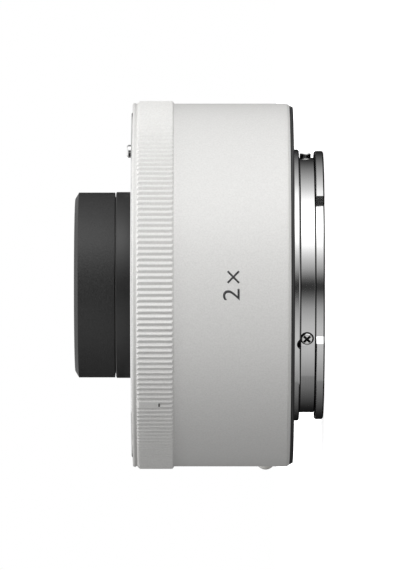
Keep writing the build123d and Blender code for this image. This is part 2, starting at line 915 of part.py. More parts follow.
def rear_mount():
    """Chrome bayonet that goes into the camera, with its flange, register, neck and three lugs."""
    mount = turned(
        [
            (rear_bore_radius, -rear_mount_depth),
            (rear_rim_radius - rim_chamfer, -rear_mount_depth),
            (rear_rim_radius, rim_chamfer - rear_mount_depth),
            (rear_rim_radius, -lug_start_depth),
            (neck_radius - neck_chamfer, -lug_start_depth),
            (neck_radius, neck_chamfer - lug_start_depth),
            (neck_radius, -register_height),
            (register_radius - register_chamfer, -register_height),
            (register_radius, register_chamfer - register_height),
            (register_radius, 0),
            (rear_disc_radius, 0),
            (rear_disc_radius, rear_disc_height),
            (rear_bore_radius, rear_disc_height),
        ]
    )
    for centre, span in zip(lug_centres, lug_spans):
        mount += rear_lug(centre, span)
    below = -rear_mount_depth - overrun
    stop_notch = block(
        stop_notch_floor_radius,
        lug_radius + overrun,
        stop_notch_width,
        below,
        -lug_start_depth - stop_notch_setback,
    )
    mount -= on_bearing(stop_notch, stop_notch_bearing)
    mouth_top = stop_notch_mouth_depth - rear_mount_depth
    mouth = turned(
        [
            (0, below),
            (stop_notch_mouth_radius + overrun, below),
            (stop_notch_mouth_radius - stop_notch_mouth_depth, mouth_top),
            (0, mouth_top),
        ]
    )
    mount -= on_bearing(mouth, stop_notch_bearing, stop_notch_mouth_circle_radius)
    hole = Pos(0, 0, mount_head_sink) * Rot(180, 0, 0) * countersunk_hole(rear_screw_length)
    for bearing in mount_screw_bearings:
        mount -= on_bearing(hole, bearing, screw_circle_radius)
    recess = rod(pin_bolt_radius + loose_gap, -overrun, lock_recess_depth)
    mount -= on_bearing(recess, release_bearing, screw_circle_radius)
    seat = rod(radial_seat_radius, neck_radius - radial_seat_depth, lug_radius + overrun)
    hole = rod(radial_shank_radius + seat_gap, rear_bore_radius - overrun, neck_radius)
    for bearing in radial_screw_bearings:
        mount -= outwards(seat + hole, bearing, 0, -radial_screw_depth)
    notch = rod(register_notch_radius, neck_radius - register_notch_floor_inset, register_radius + overrun)
    return mount - outwards(notch, register_notch_bearing, 0, -register_notch_depth)


def bayonet_screws():
    """Three small screws through the neck into the light baffle."""
    seat = neck_radius - radial_seat_depth
    length = seat - baffle_inner_radius + boss_width / 2
    screw = pan_screw(radial_head_radius, radial_head_height, radial_shank_radius, length)
    return [outwards(screw, bearing, seat, -radial_screw_depth) for bearing in radial_screw_bearings]


def rear_seal():
    """Rubber ring that keeps dust and rain out between converter and camera."""
    bore = rear_disc_radius + fit_gap
    return turned([(bore, 0), (seal_edge_radius, 0), (seal_radius, seal_height), (bore, seal_height)])


def screw_clearance(low, high):
    return rod(mount_shank_radius + seat_gap, low, high)


def flange_shim():
    """Thin ring that sets the distance between the two flanges."""
    shim = ring(shim_inner_radius, barrel_lip_inner_radius - fit_gap, rear_disc_height, chassis_bottom)
    hole = screw_clearance(rear_disc_height - overrun, chassis_bottom + overrun)
    for bearing in mount_screw_bearings:
        shim -= on_bearing(hole, bearing, screw_circle_radius)
    return shim


# Inner frame


def chassis():
    """Cast frame: a tube with a flange for each mount and a web that carries the lens barrel."""
    web_bore = snout_radius + web_bore_gap
    lip_seat = trim_lip_inner_radius
    step_radius = barrel_lip_inner_radius - fit_gap
    frame = turned(
        [
            (chassis_flange_inner_radius, chassis_bottom),
            (step_radius, chassis_bottom),
            (step_radius, barrel_lip_top),
            (chassis_radius, barrel_lip_top),
            (chassis_radius, trim_lip_bottom),
            (lip_seat, trim_lip_bottom),
            (lip_seat, front_disc_bottom),
            (chassis_flange_inner_radius, front_disc_bottom),
            (chassis_flange_inner_radius, cover_bottom),
            (well_ledge_inner_radius, cover_bottom),
            (well_ledge_inner_radius, web_top),
            (web_bore, web_top),
            (web_bore, web_start),
            (chassis_inner_radius, web_start),
            (chassis_inner_radius, chassis_flange_top),
            (chassis_flange_inner_radius, chassis_flange_top),
        ]
    )
    low_hole = screw_clearance(chassis_bottom - overrun, chassis_flange_top + overrun)
    high_hole = screw_clearance(front_face - front_screw_length - loose_gap, front_face)
    for bearing in mount_screw_bearings:
        frame -= on_bearing(low_hole + high_hole, bearing, screw_circle_radius)
    chamber = rod(bolt_collar_radius + 2 * fit_gap, bolt_chamber_floor, front_face)
    stem_hole = rod(bolt_stem_radius + 2 * fit_gap, web_start - overrun, bolt_chamber_floor)
    frame -= on_bearing(chamber + stem_hole, release_bearing, screw_circle_radius)
    frame -= sector(
        block_inner_radius - loose_gap,
        block_outer_radius + loose_gap,
        web_start - overrun,
        cover_bottom,
        contact_bearing,
        block_span + span_play,
    )
    thread = rod(small_shank_radius + seat_gap, web_top - small_screw_length - loose_gap, web_top + overrun)
    for bearing in barrel_screw_bearings:
        frame -= on_bearing(thread, bearing, barrel_screw_circle_radius)
    thread = rod(small_shank_radius + seat_gap, web_start - overrun, web_start + small_screw_length)
    for bearing in pair(block_screw_span):
        frame -= on_bearing(thread, bearing, block_screw_circle_radius)
    thread = rod(
        small_shank_radius + seat_gap, chassis_flange_top - small_screw_length, chassis_flange_top + overrun
    )
    for bearing in pair(board_screw_span):
        frame -= on_bearing(thread, bearing, board_screw_circle_radius)
    return frame - knob_slot(loose_gap)


def pair(span):
    """Two bearings, span degrees apart about the contacts."""
    return (contact_bearing - span / 2, contact_bearing + span / 2)


def well_cover():
    """Black ring that floors the well round the snout, with a window for the contact block."""
    outer = throat_radius + front_skirt_wall - fit_gap
    cover = ring(snout_radius + cover_gap, outer, cover_bottom, cover_top)
    window = sector(
        block_inner_radius - loose_gap,
        block_outer_radius + loose_gap,
        cover_bottom - overrun,
        cover_top + overrun,
        contact_bearing,
        block_span + span_play,
    )
    return cover - window


# Contacts


def contact_bearings():
    first = contact_bearing - pin_pitch * (pin_count - 1) / 2
    return [first + pin_pitch * number for number in range(pin_count)]


def block_screw_holes(low, high):
    hole = rod(small_shank_radius + seat_gap, low, high)
    return [on_bearing(hole, bearing, block_screw_circle_radius) for bearing in pair(block_screw_span)]


def front_contact_block():
    """Black moulding in the well; each pin slides in a chamber with a smaller hole through its roof."""
    body = sector(
        block_inner_radius, block_outer_radius, web_start, block_top, contact_bearing, block_span
    )
    body += sector(
        block_inner_radius,
        block_base_outer_radius,
        block_base_bottom,
        web_start,
        contact_bearing,
        block_base_span,
    )
    chamber = rod(chamber_radius, block_base_bottom - overrun, block_top - block_roof)
    tip_hole = rod(pin_radius + fit_gap, block_base_bottom, block_top + overrun)
    for bearing in contact_bearings():
        body -= on_bearing(chamber + tip_hole, bearing, contact_circle_radius)
    for hole in block_screw_holes(block_base_bottom - overrun, web_start + overrun):
        body -= hole
    return body


def contact_pins():
    """Ten gold pins that meet the lens, each with a collar that its spring pushes up."""
    pin = turned(
        [
            (0, pin_collar_bottom - pin_stem_length),
            (pin_stem_radius, pin_collar_bottom - pin_stem_length),
            (pin_stem_radius, pin_collar_bottom),
            (pin_collar_radius, pin_collar_bottom),
            (pin_collar_radius, pin_collar_top),
            (pin_radius, pin_collar_top),
            (pin_radius, pin_tip - pin_tip_round),
            (pin_radius - pin_tip_round, pin_tip),
            (0, pin_tip),
        ]
    )
    return [on_bearing(pin, bearing, contact_circle_radius) for bearing in contact_bearings()]


def contact_springs():
    """The space of each pin's tiny coil, as a thin sleeve between contact board and collar."""
    inner = pin_stem_radius + fit_gap
    sleeve = ring(inner, inner + contact_spring_wall, block_base_bottom, pin_collar_bottom)
    return [on_bearing(sleeve, bearing, contact_circle_radius) for bearing in contact_bearings()]


def contact_board():
    """Small board under the block, which closes the chambers and joins the springs to the flex."""
    board = sector(
        block_inner_radius,
        block_base_outer_radius,
        contact_board_bottom,
        block_base_bottom,
        contact_bearing,
        block_base_span,
    )
    for hole in block_screw_holes(contact_board_bottom - overrun, block_base_bottom + overrun):
        board -= hole
    return board


def contact_block_screws():
    """Two screws from behind, through board and block into the web."""
    length = web_start - contact_board_bottom + small_screw_length - loose_gap
    screw = pan_screw(small_head_radius, small_head_height, small_shank_radius, length)
    placed = Pos(0, 0, contact_board_bottom) * Rot(180, 0, 0) * screw
    return [on_bearing(placed, bearing, block_screw_circle_radius) for bearing in pair(block_screw_span)]


def rear_baffle():
    """Black moulding in the rear mount: a collar, and a floor with the oblong window."""
    baffle = turned(
        [
            (0, -baffle_floor_depth),
            (baffle_inner_radius, -baffle_floor_depth),
            (baffle_inner_radius, -baffle_depth),
            (baffle_outer_radius, -baffle_depth),
            (baffle_outer_radius, rear_disc_height),
            (baffle_flange_radius, rear_disc_height),
            (baffle_flange_radius, rear_disc_height + baffle_flange_height),
            (baffle_inner_radius, rear_disc_height + baffle_flange_height),
            (baffle_inner_radius, baffle_floor_top),
            (0, baffle_floor_top),
        ]
    )
    boss_inner = baffle_inner_radius - boss_width
    for bearing in radial_screw_bearings:
        baffle += sector(
            boss_inner, baffle_inner_radius, -baffle_depth, -baffle_floor_depth, bearing, boss_span
        )
    window = RectangleRounded(window_height, window_width, window_corner_radius)
    cutter = extrude(window, baffle_floor_height + 2 * overrun)
    baffle -= Pos(0, 0, -baffle_floor_depth - overrun) * cutter
    baffle -= sector(
        boss_inner,
        baffle_outer_radius + overrun,
        -baffle_depth - overrun,
        -baffle_floor_depth,
        contact_bearing,
        block_span + span_play,
    )
    hole = rod(radial_shank_radius + seat_gap, boss_inner - overrun, baffle_outer_radius + overrun)
    for bearing in radial_screw_bearings:
        baffle -= outwards(hole, bearing, 0, -radial_screw_depth)
    slot = block(
        rear_flex_radius - flex_slot_gap,
        rear_flex_radius + flex_thickness + flex_slot_gap,
        flex_width + 2 * flex_slot_gap,
        -baffle_floor_depth - overrun,
        rear_disc_height + baffle_flange_height + overrun,
    )
    baffle -= on_bearing(slot, contact_bearing)
    screw_hole = rod(
        small_shank_radius + seat_gap, -baffle_floor_depth - overrun, baffle_floor_top + overrun
    )
    for bearing in pair(rear_block_screw_span):
        baffle -= on_bearing(screw_hole, bearing, rear_block_screw_circle_radius)
    return baffle


def rear_contact_block():
    """Black moulding on the baffle floor that holds the flat contacts for the camera."""
    low = pad_proud - pin_pressed_depth
    body = sector(
        rear_block_inner_radius,
        rear_block_outer_radius,
        low,
        -baffle_floor_depth,
        contact_bearing,
        block_span,
    )
    for pocket in rear_pads(seat_gap, overrun):
        body -= pocket
    hole = rod(
        small_shank_radius + seat_gap,
        -baffle_floor_depth - small_screw_length,
        -baffle_floor_depth + overrun,
    )
    for bearing in pair(rear_block_screw_span):
        body -= on_bearing(hole, bearing, rear_block_screw_circle_radius)
    return body


def rear_pads(grow, deeper):
    """Ten flat pads in an arc; grown a little, the same shapes cut their pockets."""
    low = -pin_pressed_depth
    pad = block(
        contact_circle_radius - pad_length / 2 - grow,
        contact_circle_radius + pad_length / 2 + grow,
        pad_width + 2 * grow,
        low - deeper,
        low + pad_height + grow,
    )
    return [on_bearing(pad, bearing) for bearing in contact_bearings()]


def rear_contact_screws():
    """Two screws through the baffle floor into the rear contact block."""
    length = baffle_floor_height + small_screw_length - loose_gap
    screw = pan_screw(small_head_radius, small_head_height, small_shank_radius, length)
    placed = Pos(0, 0, baffle_floor_top) * screw
    bearings = pair(rear_block_screw_span)
    return [on_bearing(placed, bearing, rear_block_screw_circle_radius) for bearing in bearings]


# Electronics


def circuit_board():
    """Curved board on the chassis flange, which tells the camera what is mounted."""
    board = sector(
        board_inner_radius, board_outer_radius, board_bottom, board_top, contact_bearing, board_span
    )
    hole = rod(small_shank_radius + seat_gap, board_bottom - overrun, board_top + overrun)
    for bearing in pair(board_screw_span):
        board -= on_bearing(hole, bearing, board_screw_circle_radius)
    return board


def control_chip():
    stands = (Align.CENTER, Align.CENTER, Align.MIN)
    chip = Pos(0, 0, board_top) * Box(chip_width, chip_width, chip_height, align=stands)
    return on_bearing(chip, chip_bearing, chip_circle_radius)


def board_screws():
    length = board_height + small_screw_length - loose_gap
    screw = pan_screw(small_head_radius, small_head_height, small_shank_radius, length)
    placed = Pos(0, 0, board_top) * screw
    return [on_bearing(placed, bearing, board_screw_circle_radius) for bearing in pair(board_screw_span)]


def front_flex():
    """Amber strip from the contact board down to the circuit board."""
    head = block(
        front_flex_radius - front_flex_head,
        front_flex_radius + flex_thickness,
        flex_width,
        contact_board_bottom - flex_thickness,
        contact_board_bottom,
    )
    drop = block(
        front_flex_radius, front_flex_radius + flex_thickness, flex_width, board_top, contact_board_bottom
    )
    foot = block(
        front_flex_radius,
        front_flex_radius + front_flex_foot,
        flex_width,
        board_top,
        board_top + flex_thickness,
    )
    return on_bearing(head + drop + foot, contact_bearing)


def rear_flex():
    """Amber strip from the circuit board through the baffle floor to the rear contacts."""
    top = board_top + flex_thickness
    drop = block(
        rear_flex_radius, rear_flex_radius + flex_thickness, flex_width, -baffle_floor_depth, top
    )
    foot = block(rear_flex_radius, rear_flex_radius + rear_flex_foot, flex_width, board_top, top)
    return on_bearing(drop + foot, contact_bearing)


# Lens release


def lock_pin():
    """Steel bolt that drops into the lens flange; its collar sits under the front mount."""
    groove_radius = bolt_stem_radius - clip_groove_depth
    bolt = turned(
        [
            (0, bolt_stem_end),
            (bolt_stem_radius, bolt_stem_end),
            (bolt_stem_radius, clip_bottom),
            (groove_radius, clip_bottom),
            (groove_radius, clip_top),
            (bolt_stem_radius, clip_top),
            (bolt_stem_radius, bolt_collar_bottom),
            (bolt_collar_radius, bolt_collar_bottom),
            (bolt_collar_radius, bolt_collar_top),
            (pin_bolt_radius, bolt_collar_top),
            (pin_bolt_radius, bolt_tip - pin_bolt_chamfer),
            (pin_bolt_radius - pin_bolt_chamfer, bolt_tip),
            (0, bolt_tip),
        ]
    )
    return on_bearing(bolt, release_bearing, screw_circle_radius)


def lock_pin_clip():
    """Snap ring in the groove of the bolt's stem; the fork pulls on it."""
    inner = bolt_stem_radius - clip_groove_depth + seat_gap
    clip = ring(inner, clip_radius, clip_bottom, clip_top)
    mouth_width = 2 * bolt_stem_radius * clip_mouth_share
    clip -= block(-clip_radius - overrun, 0, mouth_width, clip_bottom - overrun, clip_top + overrun)
    return on_bearing(clip, release_bearing, screw_circle_radius)


def coil(low, high, turns):
    """A coil spring of square wire, its ends ground flat on both seats."""
    height = high - low
    helix = Helix(height / turns, height, coil_radius)
    section = Plane(helix @ 0, z_dir=helix % 0) * Rectangle(coil_wire, coil_wire)
    wire = sweep(section, path=helix, is_frenet=True)
    return Pos(0, 0, low) * (wire & rod(coil_radius + coil_wire, 0, height))


def lock_pin_spring():
    """Coil round the bolt's stem that pushes it up."""
    spring = coil(bolt_chamber_floor, bolt_collar_bottom, lock_coil_turns)
    return on_bearing(spring, release_bearing, screw_circle_radius)


def release_spring():
    """Coil on the chassis flange that returns the slider."""
    spring = coil(chassis_flange_top, leg_bottom, release_coil_turns)
    return on_bearing(spring, release_bearing, screw_circle_radius)


def release_slider():
    """Bent steel plate: a leg inside the chassis, a fork round the bolt, a foot on the spring."""
    inner = screw_circle_radius - fork_reach + leg_thickness
    plate = block(leg_radius, leg_outer_radius, leg_width, leg_bottom, fork_top)
    plate += block(inner, leg_outer_radius, leg_width, fork_bottom, fork_top)
    plate += block(inner, leg_outer_radius, foot_width, leg_bottom, leg_bottom + foot_height)
    slot_radius = bolt_stem_radius + fit_gap
    slot = Pos(screw_circle_radius, 0, 0) * rod(slot_radius, fork_bottom - overrun, fork_top + overrun)
    slot += block(
        inner - overrun, screw_circle_radius, 2 * slot_radius, fork_bottom - overrun, fork_top + overrun
    )
    window_low = bolt_stem_end - loose_gap
    window = block(
        leg_radius - overrun, leg_outer_radius + overrun, leg_window_width, window_low, fork_bottom
    )
    holes = [
        Pos(leg_radius, side * knob_screw_spacing / 2, knob_centre)
        * Rot(0, 90, 0)
        * rod(small_shank_radius + seat_gap, -overrun, overrun)
        for side in (-1, 1)
    ]
    plate = plate - slot - window
    for hole in holes:
        plate -= hole
    return on_bearing(plate, release_bearing)


def release_knob():
    """White knob on the barrel, pushed towards the camera to free the lens."""
    low = knob_centre - knob_height / 2
    high = knob_centre + knob_height / 2
    foot = barrel_radius + loose_gap
    crown = foot + knob_thickness
    knob = sector(foot, crown, low, high, 0, knob_span)
    edges = knob.faces().filter_by(lambda face: face.center().X > crown - knob_edge_round).edges()
    knob = chamfer(edges, knob_edge_round)
    for number in range(knob_groove_count):
        middle = knob_centre + (number - (knob_groove_count - 1) / 2) * knob_groove_pitch
        edge = knob_groove_width / 2
        knob -= ring(crown - knob_groove_depth, crown + overrun, middle - edge, middle + edge)
    boss_low = knob_centre - knob_boss_height / 2
    boss_high = knob_centre + knob_boss_height / 2
    boss = block(leg_outer_radius, foot + knob_thickness / 2, knob_boss_width, boss_low, boss_high)
    knob += boss
    for side in (-1, 1):
        thread = rod(small_shank_radius + seat_gap, -overrun, knob_screw_length)
        knob -= (
            Pos(leg_radius, side * knob_screw_spacing / 2, knob_centre)
            * Rot(0, 90, 0)
            * thread
        )
    return on_bearing(knob, release_bearing)


def release_screws():
    """Two screws from inside, through the slider into the knob."""
    screw = pan_screw(
        small_head_radius, small_head_height, small_shank_radius, knob_screw_length - loose_gap
    )
    inward = Rot(0, -90, 0) * screw
    sides = [side * knob_screw_spacing / 2 for side in (-1, 1)]
    return [on_bearing(Pos(leg_radius, side, knob_centre) * inward, release_bearing) for side in sides]


os.makedirs("parts", exist_ok=True)

pieces = {
    "main_barrel": main_barrel(),
    "grip_ring": grip_ring(),
    "trim_ring": trim_ring(),
    "front_mount": front_mount(),
    "front_index_dot": front_index_dot(),
    "rear_mount": rear_mount(),
    "rear_seal": rear_seal(),
    "flange_shim": flange_shim(),
    "mount_index": mount_index(),
    "chassis": chassis(),
    "well_cover": well_cover(),
    "lens_barrel": lens_barrel(),
    "snout_cap": snout_cap(),
    "rear_baffle": rear_baffle(),
    "front_contact_block": front_contact_block(),
    "contact_board": contact_board(),
    "rear_contact_block": rear_contact_block(),
    "circuit_board": circuit_board(),
    "control_chip": control_chip(),
    "front_flex": front_flex(),
    "rear_flex": rear_flex(),
    "lock_pin": lock_pin(),
    "lock_pin_clip": lock_pin_clip(),
    "lock_pin_spring": lock_pin_spring(),
    "release_slider": release_slider(),
    "release_knob": release_knob(),
    "release_spring": release_spring(),
    **glass(),
    **glass_rings(),
}

groups = {
    "mount_leaf_springs": mount_leaf_springs(),
    "front_mount_screws": mount_screws(front_screw_length, front_face - mount_head_sink, False),
    "rear_mount_screws": mount_screws(rear_screw_length, mount_head_sink, True),
    "bayonet_screws": bayonet_screws(),
    "lens_barrel_screws": lens_barrel_screws(),
    "contact_pins": contact_pins(),
    "contact_springs": contact_springs(),
    "contact_block_screws": contact_block_screws(),
    "rear_contact_pads": rear_pads(0, 0),
    "rear_contact_screws": rear_contact_screws(),
    "board_screws": board_screws(),
    "release_screws": release_screws(),
}

for name, shape in pieces.items():
    save(shape, name)
for name, shapes in groups.items():
    save_group(shapes, name)
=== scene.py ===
import math
import bmesh
import bpy
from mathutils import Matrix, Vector


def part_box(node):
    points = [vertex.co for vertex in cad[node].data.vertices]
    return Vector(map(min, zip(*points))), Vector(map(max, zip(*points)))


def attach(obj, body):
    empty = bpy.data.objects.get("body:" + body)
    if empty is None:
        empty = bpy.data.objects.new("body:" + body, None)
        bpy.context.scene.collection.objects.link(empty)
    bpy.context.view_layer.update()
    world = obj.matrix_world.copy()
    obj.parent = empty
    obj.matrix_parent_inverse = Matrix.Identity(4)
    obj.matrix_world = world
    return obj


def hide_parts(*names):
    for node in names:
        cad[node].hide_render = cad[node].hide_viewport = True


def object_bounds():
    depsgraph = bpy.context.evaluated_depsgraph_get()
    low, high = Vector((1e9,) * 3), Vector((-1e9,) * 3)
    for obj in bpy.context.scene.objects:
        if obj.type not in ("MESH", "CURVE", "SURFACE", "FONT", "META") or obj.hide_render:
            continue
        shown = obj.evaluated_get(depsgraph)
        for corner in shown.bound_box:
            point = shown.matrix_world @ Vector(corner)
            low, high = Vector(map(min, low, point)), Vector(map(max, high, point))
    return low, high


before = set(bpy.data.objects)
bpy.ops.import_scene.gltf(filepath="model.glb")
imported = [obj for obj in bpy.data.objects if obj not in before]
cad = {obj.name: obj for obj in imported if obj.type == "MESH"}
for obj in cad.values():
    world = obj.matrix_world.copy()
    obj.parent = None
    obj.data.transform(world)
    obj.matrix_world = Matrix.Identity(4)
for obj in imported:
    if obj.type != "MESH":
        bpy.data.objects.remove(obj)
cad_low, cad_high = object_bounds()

# Chassis and shim.
# The frame inside the barrel is die-cast alloy with its cast skin, and both mounts screw to it.
# The shim is a thin ground steel ring that sets the distance between the two flanges.
mm = 0.001


def shader_of(finish):
    return finish.node_tree.nodes["Principled BSDF"]


def new_finish(name, colour, roughness, metallic=0.0):
    finish = bpy.data.materials.new(name)
    finish.use_nodes = True
    shader = shader_of(finish)
    shader.inputs["Base Color"].default_value = (*colour, 1)
    shader.inputs["Roughness"].default_value = roughness
    shader.inputs["Metallic"].default_value = metallic
    return finish


def add_node(finish, kind, **values):
    node = finish.node_tree.nodes.new("ShaderNode" + kind)
    for name, value in values.items():
        if hasattr(node, name):
            setattr(node, name, value)
        else:
            node.inputs[name.replace("_", " ")].default_value = value
    return node


def wire(finish, source, node, socket):
    finish.node_tree.links.new(source, node.inputs[socket])


def place_on_part(finish):
    return add_node(finish, "TexCoord").outputs["Object"]


def speckle(finish, size, detail=2.0):
    noise = add_node(finish, "TexNoise", Scale=1 / size, Detail=detail)
    wire(finish, place_on_part(finish), noise, "Vector")
    return noise.outputs[0]


def turned_lines(finish, pitch, detail=3.0):
    # Lathe marks run round the axis: they change along it on a wall, and outwards on a face.
    flat = add_node(finish, "Mapping", Scale=(1, 1, 0))
    wire(finish, place_on_part(finish), flat, "Vector")
    radius = add_node(finish, "VectorMath", operation="LENGTH")
    wire(finish, flat.outputs[0], radius, 0)
    parts = add_node(finish, "SeparateXYZ")
    wire(finish, place_on_part(finish), parts, 0)
    along = add_node(finish, "Math", operation="ADD")
    wire(finish, radius.outputs["Value"], along, 0)
    wire(finish, parts.outputs["Z"], along, 1)
    noise = add_node(finish, "TexNoise", noise_dimensions="1D", Scale=1 / pitch, Detail=detail)
    wire(finish, along.outputs[0], noise, "W")
    return noise.outputs[0]


def raise_grain(finish, pattern, depth):
    bump = add_node(finish, "Bump", Strength=1.0, Distance=depth)
    wire(finish, pattern, bump, "Height")
    wire(finish, bump.outputs[0], shader_of(finish), "Normal")


# A pattern's values lie mostly between these two, so its whole range of tones is used.
pattern_low, pattern_high = 0.3, 0.7


def vary_colour(finish, pattern, dark, light):
    ramp = add_node(finish, "ValToRGB")
    first, last = ramp.color_ramp.elements
    first.position, first.color = pattern_low, (*dark, 1)
    last.position, last.color = pattern_high, (*light, 1)
    wire(finish, pattern, ramp, 0)
    wire(finish, ramp.outputs[0], shader_of(finish), "Base Color")


def vary_roughness(finish, pattern, smooth, rough):
    between = add_node(finish, "MapRange", From_Min=pattern_low, From_Max=pattern_high)
    between.inputs["To Min"].default_value = smooth
    between.inputs["To Max"].default_value = rough
    wire(finish, pattern, between, 0)
    wire(finish, between.outputs[0], shader_of(finish), "Roughness")


def dress(finish, *names):
    for name in names:
        cad[name].material_slots[0].material = finish


cast_alloy = new_finish("cast_alloy", (0.42, 0.42, 0.43), 0.5, 0.9)
cast_skin = speckle(cast_alloy, 0.5 * mm)
vary_colour(cast_alloy, cast_skin, (0.36, 0.36, 0.37), (0.48, 0.48, 0.49))
vary_roughness(cast_alloy, cast_skin, 0.42, 0.6)
raise_grain(cast_alloy, cast_skin, 0.04 * mm)
dress(cast_alloy, "chassis")

spring_steel = new_finish("spring_steel", (0.55, 0.55, 0.56), 0.3, 1.0)
rolled_lines = turned_lines(spring_steel, 0.05 * mm)
vary_colour(spring_steel, rolled_lines, (0.5, 0.5, 0.5), (0.6, 0.6, 0.61))
vary_roughness(spring_steel, rolled_lines, 0.22, 0.36)
raise_grain(spring_steel, rolled_lines, 0.003 * mm)
dress(spring_steel, "flange_shim")

# Lens elements.
# Eight ground and polished optical glasses. Their coatings throw back a faint green or purple.


def coated_glass(name, tint, index):
    finish = new_finish(name, (0.97, 0.98, 0.97), 0.0)
    shader = shader_of(finish)
    shader.inputs["Transmission Weight"].default_value = 1.0
    shader.inputs["IOR"].default_value = index
    shader.inputs["Specular Tint"].default_value = (*tint, 1)
    vary_roughness(finish, speckle(finish, 0.8 * mm, 1.0), 0.0, 0.006)
    return finish


green_coat = coated_glass("green_coated_glass", (0.35, 0.95, 0.6), 1.6)
purple_coat = coated_glass("purple_coated_glass", (0.75, 0.4, 1.0), 1.52)
dress(green_coat, "element_1", "element_3", "element_6", "element_8")
dress(purple_coat, "element_2", "element_4", "element_5", "element_7")

# Lens barrel, snout cap, spacers and retaining rings.
# Turned aluminium, bead-blasted and anodised black. The barrel carries the glass and its flange
# screws to the chassis. The thicker cap is pushed on to the front of the snout.
black_cap = new_finish("black_cap", (0.016, 0.016, 0.016), 0.38)
shader_of(black_cap).inputs["IOR"].default_value = 1.56
blasted = speckle(black_cap, 0.3 * mm, 4.0)
vary_colour(black_cap, blasted, (0.011, 0.011, 0.011), (0.023, 0.023, 0.023))
vary_roughness(black_cap, blasted, 0.4, 0.52)
raise_grain(black_cap, blasted, 0.05 * mm)
dress(black_cap, "snout_cap")

black_anodised = new_finish("black_anodised", (0.012, 0.012, 0.012), 0.3)
shader_of(black_anodised).inputs["IOR"].default_value = 1.68
tube_lines = turned_lines(black_anodised, 0.12 * mm)
vary_colour(black_anodised, tube_lines, (0.009, 0.009, 0.009), (0.015, 0.015, 0.015))
vary_roughness(black_anodised, tube_lines, 0.34, 0.42)
raise_grain(black_anodised, tube_lines, 0.003 * mm)
dress(
    black_anodised,
    "lens_barrel",
    "front_retaining_ring",
    "rear_retaining_ring",
    "front_spacer",
    "rear_spacer",
    "thin_spacer",
)

# Small screws inside.
# Cross-headed steel screws with a dull nickel plate. They hold the lens barrel, the contact blocks,
# the board and the two mounts.
screw_steel = new_finish("screw_steel", (0.5, 0.49, 0.47), 0.28, 1.0)
plated = speckle(screw_steel, 0.25 * mm)
vary_colour(screw_steel, plated, (0.44, 0.43, 0.41), (0.56, 0.55, 0.53))
vary_roughness(screw_steel, plated, 0.22, 0.36)
raise_grain(screw_steel, turned_lines(screw_steel, 0.04 * mm), 0.002 * mm)
dress(
    screw_steel,
    "lens_barrel_screws",
    "contact_block_screws",
    "board_screws",
    "rear_contact_screws",
    "front_mount_screws",
    "rear_mount_screws",
)

# Circuit board, chip and flexes.
# A green laminate board with a black chip, and two amber film flexes that run to the contacts.
board_laminate = new_finish("board_laminate", (0.02, 0.12, 0.06), 0.35)
board_pitch = 1 / 900
copper_runs = add_node(board_laminate, "TexBrick", Scale=1 / board_pitch, Mortar_Size=0.03)
copper_runs.inputs["Color1"].default_value = (0.012, 0.1, 0.045, 1)
copper_runs.inputs["Color2"].default_value = (0.018, 0.13, 0.06, 1)
copper_runs.inputs["Mortar"].default_value = (0.05, 0.22, 0.1, 1)
wire(board_laminate, place_on_part(board_laminate), copper_runs, "Vector")
wire(board_laminate, copper_runs.outputs["Color"], shader_of(board_laminate), "Base Color")
raise_grain(board_laminate, copper_runs.outputs["Fac"], 0.01 * mm)
dress(board_laminate, "circuit_board", "contact_board")

chip_case = new_finish("chip_case", (0.015, 0.015, 0.016), 0.6)
moulded_epoxy = speckle(chip_case, 0.15 * mm)
vary_colour(chip_case, moulded_epoxy, (0.012, 0.012, 0.013), (0.022, 0.022, 0.023))
raise_grain(chip_case, moulded_epoxy, 0.01 * mm)
dress(chip_case, "control_chip")

flex_film = new_finish("flex_film", (0.5, 0.22, 0.04), 0.3)
film_pitch = 1 / 400
film_runs = add_node(flex_film, "TexWave", bands_direction="Y", Scale=1 / film_pitch)
wire(flex_film, place_on_part(flex_film), film_runs, "Vector")
vary_colour(flex_film, film_runs.outputs["Fac"], (0.35, 0.14, 0.02), (0.55, 0.26, 0.06))
raise_grain(flex_film, film_runs.outputs["Fac"], 0.01 * mm)
dress(flex_film, "front_flex", "rear_flex")

# Front contact block with its sprung pins.
# A black moulded block holds ten gold-plated pins, each on a steel spring, and closes on a board.
black_plastic = new_finish("black_plastic", (0.022, 0.022, 0.023), 0.5)
moulded_grain = speckle(black_plastic, 0.2 * mm, 3.0)
vary_colour(black_plastic, moulded_grain, (0.016, 0.016, 0.017), (0.03, 0.03, 0.031))
vary_roughness(black_plastic, moulded_grain, 0.42, 0.6)
raise_grain(black_plastic, moulded_grain, 0.01 * mm)
dress(black_plastic, "front_contact_block")

gold_contact = new_finish("gold_contact", (0.9, 0.62, 0.26), 0.2, 1.0)
gold_plate = speckle(gold_contact, 0.2 * mm)
vary_colour(gold_contact, gold_plate, (0.82, 0.54, 0.2), (0.95, 0.68, 0.32))
vary_roughness(gold_contact, gold_plate, 0.14, 0.28)
dress(gold_contact, "contact_pins")
dress(spring_steel, "contact_springs")

# Well cover.
# A black moulded ring that closes the well round the snout and takes the lens's rear barrel.
dress(black_plastic, "well_cover")

# Front mount with its leaf springs and index dot.
# A chrome-plated brass ring with three tabs inside. Leaf springs behind them pull the lens tight,
# and a white dot of paint shows where the lens goes in.
chrome_plate = new_finish("chrome_plate", (0.84, 0.84, 0.84), 0.09, 1.0)
lathe_marks = turned_lines(chrome_plate, 0.06 * mm, 4.0)
vary_colour(chrome_plate, lathe_marks, (0.78, 0.78, 0.78), (0.88, 0.88, 0.875))
vary_roughness(chrome_plate, lathe_marks, 0.06, 0.13)
raise_grain(chrome_plate, lathe_marks, 0.001 * mm)
dress(chrome_plate, "front_mount")
dress(spring_steel, "mount_leaf_springs")

